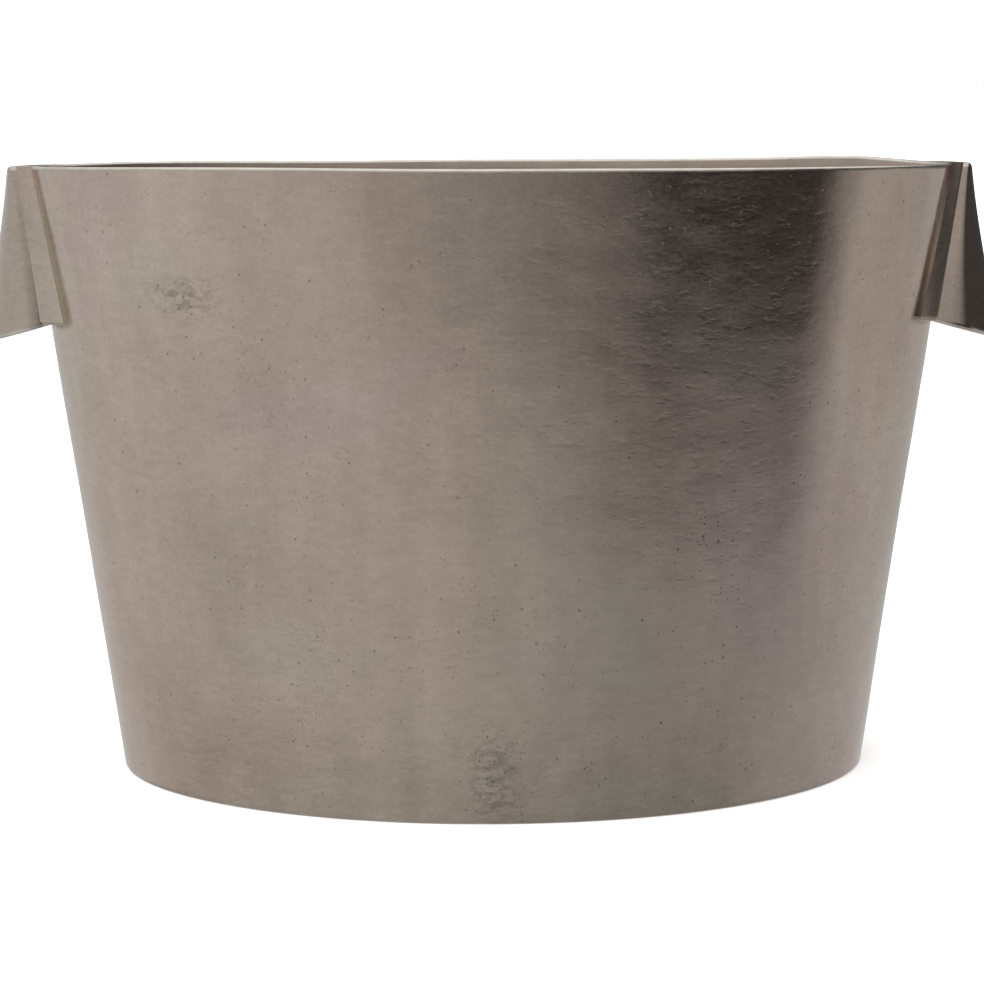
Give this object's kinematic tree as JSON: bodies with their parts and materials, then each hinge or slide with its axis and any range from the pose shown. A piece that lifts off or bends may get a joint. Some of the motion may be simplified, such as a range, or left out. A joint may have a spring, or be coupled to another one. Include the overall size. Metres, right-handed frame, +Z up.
{
  "type": "champagne bucket",
  "caption": "Oval champagne bucket in satin aluminium, tapering to a flat base, with an open-bottomed pocket handle at each end of the rim.",
  "frame": {"origin": "middle of the underside, on the surface the bucket stands on", "axes": "+Z up, +X along the oval towards one handle, -Y towards the viewer of the broad side"},
  "size_m": [0.476, 0.2658, 0.284],
  "materials": {
    "cast_satin": "satin, fine cast grain, warm grey",
    "weld_metal": "satin, dressed weld",
    "inside_satin": "dull satin"
  },
  "bodies": {
    "root": {"bucket_wall": "cast_satin", "base_plate": "inside_satin", "base_weld": "weld_metal", "handle_left": "cast_satin", "handle_right": "cast_satin", "weld_left_front": "weld_metal", "weld_left_back": "weld_metal", "weld_right_front": "weld_metal", "weld_right_back": "weld_metal"}
  },
  "joints": []
}
